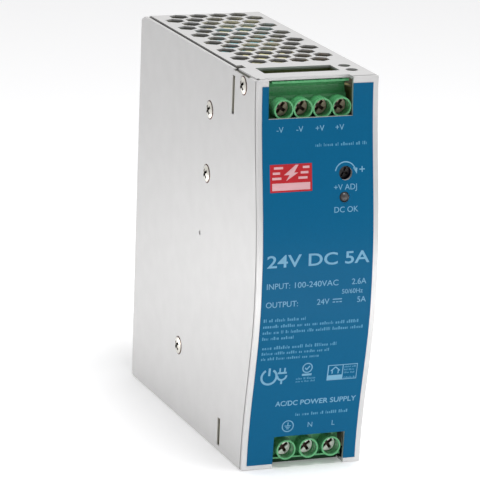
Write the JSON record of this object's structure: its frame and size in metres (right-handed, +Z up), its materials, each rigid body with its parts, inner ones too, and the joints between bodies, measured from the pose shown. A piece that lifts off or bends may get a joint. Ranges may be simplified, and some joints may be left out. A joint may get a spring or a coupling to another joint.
{
  "type": "din rail power supply",
  "caption": "Slim box-shaped AC to DC power supply that clips on a 35 mm DIN rail, with screw terminals at the top and bottom of a curved blue front.",
  "frame": {"origin": "middle of the footprint at the bottom of the case", "axes": "+Z up as mounted, -Y towards the curved front, +Y towards the rail, -X towards the removable side cover"},
  "size_m": [0.0413, 0.1168, 0.1252],
  "materials": {
    "steel_sheet": "satin zinc-coated sheet",
    "label_print": "printed polyester film",
    "bright_steel": "nickel-plated steel",
    "zinc_steel": "zinc-plated steel",
    "terminal_green": "moulded polyamide",
    "tinned_brass": "tin-plated brass",
    "board_tan": "paper laminate board",
    "film_clear": "translucent insulating film",
    "trimmer_blue": "moulded plastic",
    "rotor_dark": "moulded rotor",
    "lamp_lens": "tinted lens, unlit",
    "ferrite": "ground ferrite",
    "black_mould": "black moulding compound",
    "tape_yellow": "polyester tape",
    "sleeve_dark": "shrink sleeve",
    "sleeve_teal": "shrink sleeve",
    "powder_yellow": "coated iron powder",
    "powder_green": "coated ferrite",
    "enamel_copper": "enamelled copper wire",
    "film_box": "moulded box",
    "disc_blue": "dipped epoxy",
    "disc_dark": "dipped epoxy",
    "fuse_ceramic": "ceramic tube",
    "aluminium_bar": "extruded"
  },
  "bodies": {
    "enclosure": {"chassis": "steel_sheet", "front_panel": "steel_sheet", "front_label": "label_print", "side_cover": "steel_sheet", "cover_screw": "bright_steel", "heatsink_screws": "bright_steel", "panel_rivets": "zinc_steel", "rail_bracket": "zinc_steel", "latch_guide": "zinc_steel", "bracket_rivets": "zinc_steel", "latch_spring": "bright_steel", "main_board": "board_tan", "board_standoffs": "tinned_brass", "board_screws": "bright_steel", "insulation_sheet": "film_clear", "output_terminal_board": "board_tan", "input_terminal_board": "board_tan", "output_terminal_housing": "terminal_green", "output_contacts": "tinned_brass", "input_terminal_housing": "terminal_green", "input_contacts": "tinned_brass", "trimmer_body": "trimmer_blue", "status_led": "lamp_lens", "led_leads": "tinned_brass", "transformer_core": "ferrite", "transformer_bobbin": "black_mould", "transformer_winding": "tape_yellow", "bulk_capacitor": "sleeve_dark", "output_capacitors": "sleeve_dark", "auxiliary_capacitor": "sleeve_teal", "output_choke_core": "powder_yellow", "output_choke_winding": "enamel_copper", "line_choke_core": "powder_green", "line_choke_windings": "enamel_copper", "x_capacitor": "film_box", "film_capacitor": "film_box", "y_capacitors": "disc_blue", "fuse": "fuse_ceramic", "thermistor": "disc_dark", "varistor": "disc_blue", "bridge_rectifier": "black_mould", "heat_spreaders": "aluminium_bar", "power_transistors": "black_mould", "control_chips": "black_mould"},
    "latch": {"rail_latch": "bright_steel"},
    "trimmer": {"trimmer_rotor": "rotor_dark"},
    "output_screw_1": {"output_screw_1": "bright_steel"},
    "output_clamp_1": {"output_clamp_1": "zinc_steel"},
    "output_screw_2": {"output_screw_2": "bright_steel"},
    "output_clamp_2": {"output_clamp_2": "zinc_steel"},
    "output_screw_3": {"output_screw_3": "bright_steel"},
    "output_clamp_3": {"output_clamp_3": "zinc_steel"},
    "output_screw_4": {"output_screw_4": "bright_steel"},
    "output_clamp_4": {"output_clamp_4": "zinc_steel"},
    "input_screw_1": {"input_screw_1": "bright_steel"},
    "input_clamp_1": {"input_clamp_1": "zinc_steel"},
    "input_screw_2": {"input_screw_2": "bright_steel"},
    "input_clamp_2": {"input_clamp_2": "zinc_steel"},
    "input_screw_3": {"input_screw_3": "bright_steel"},
    "input_clamp_3": {"input_clamp_3": "zinc_steel"}
  },
  "joints": [
    {"name": "latch_slide", "type": "slide", "parent": "enclosure", "child": "latch", "axis": [0, 0, -1], "range_m": [0, 0.0045], "stiffness_N_per_m": 1200, "springref_m": -0.004, "deforming": ["latch_spring"]},
    {"name": "trimmer_turn", "type": "hinge", "parent": "enclosure", "child": "trimmer", "pos_m": [0.0091, -0.0534, 0.0956], "axis": [0, 1, 0], "range_deg": [-135, 135]},
    {"name": "output_screw_1_turn", "type": "hinge", "parent": "enclosure", "child": "output_screw_1", "pos_m": [-0.01077, -0.0471, 0.1157], "axis": [0, 1, 0], "range_deg": [0, 2165]},
    {"name": "output_clamp_1_rise", "type": "slide", "parent": "enclosure", "child": "output_clamp_1", "axis": [0, -1, 0], "range_m": [0, 0.003]},
    {"name": "output_screw_2_turn", "type": "hinge", "parent": "enclosure", "child": "output_screw_2", "pos_m": [-0.00443, -0.0471, 0.1157], "axis": [0, 1, 0], "range_deg": [0, 2165]},
    {"name": "output_clamp_2_rise", "type": "slide", "parent": "enclosure", "child": "output_clamp_2", "axis": [0, -1, 0], "range_m": [0, 0.003]},
    {"name": "output_screw_3_turn", "type": "hinge", "parent": "enclosure", "child": "output_screw_3", "pos_m": [0.00193, -0.0471, 0.1157], "axis": [0, 1, 0], "range_deg": [0, 2165]},
    {"name": "output_clamp_3_rise", "type": "slide", "parent": "enclosure", "child": "output_clamp_3", "axis": [0, -1, 0], "range_m": [0, 0.003]},
    {"name": "output_screw_4_turn", "type": "hinge", "parent": "enclosure", "child": "output_screw_4", "pos_m": [0.00827, -0.0471, 0.1157], "axis": [0, 1, 0], "range_deg": [0, 2165]},
    {"name": "output_clamp_4_rise", "type": "slide", "parent": "enclosure", "child": "output_clamp_4", "axis": [0, -1, 0], "range_m": [0, 0.003]},
    {"name": "input_screw_1_turn", "type": "hinge", "parent": "enclosure", "child": "input_screw_1", "pos_m": [-0.00522, -0.0462, 0.0057], "axis": [0, 1, 0], "range_deg": [0, 2165]},
    {"name": "input_clamp_1_rise", "type": "slide", "parent": "enclosure", "child": "input_clamp_1", "axis": [0, -1, 0], "range_m": [0, 0.003]},
    {"name": "input_screw_2_turn", "type": "hinge", "parent": "enclosure", "child": "input_screw_2", "pos_m": [0.0024, -0.0462, 0.0057], "axis": [0, 1, 0], "range_deg": [0, 2165]},
    {"name": "input_clamp_2_rise", "type": "slide", "parent": "enclosure", "child": "input_clamp_2", "axis": [0, -1, 0], "range_m": [0, 0.003]},
    {"name": "input_screw_3_turn", "type": "hinge", "parent": "enclosure", "child": "input_screw_3", "pos_m": [0.01002, -0.0462, 0.0057], "axis": [0, 1, 0], "range_deg": [0, 2165]},
    {"name": "input_clamp_3_rise", "type": "slide", "parent": "enclosure", "child": "input_clamp_3", "axis": [0, -1, 0], "range_m": [0, 0.003]}
  ],
  "couplings": [
    {"joint": "output_screw_1_turn", "follows": "output_clamp_1_rise", "rad_per_m": 12566},
    {"joint": "output_screw_2_turn", "follows": "output_clamp_2_rise", "rad_per_m": 12566},
    {"joint": "output_screw_3_turn", "follows": "output_clamp_3_rise", "rad_per_m": 12566},
    {"joint": "output_screw_4_turn", "follows": "output_clamp_4_rise", "rad_per_m": 12566},
    {"joint": "input_screw_1_turn", "follows": "input_clamp_1_rise", "rad_per_m": 12566},
    {"joint": "input_screw_2_turn", "follows": "input_clamp_2_rise", "rad_per_m": 12566},
    {"joint": "input_screw_3_turn", "follows": "input_clamp_3_rise", "rad_per_m": 12566}
  ]
}
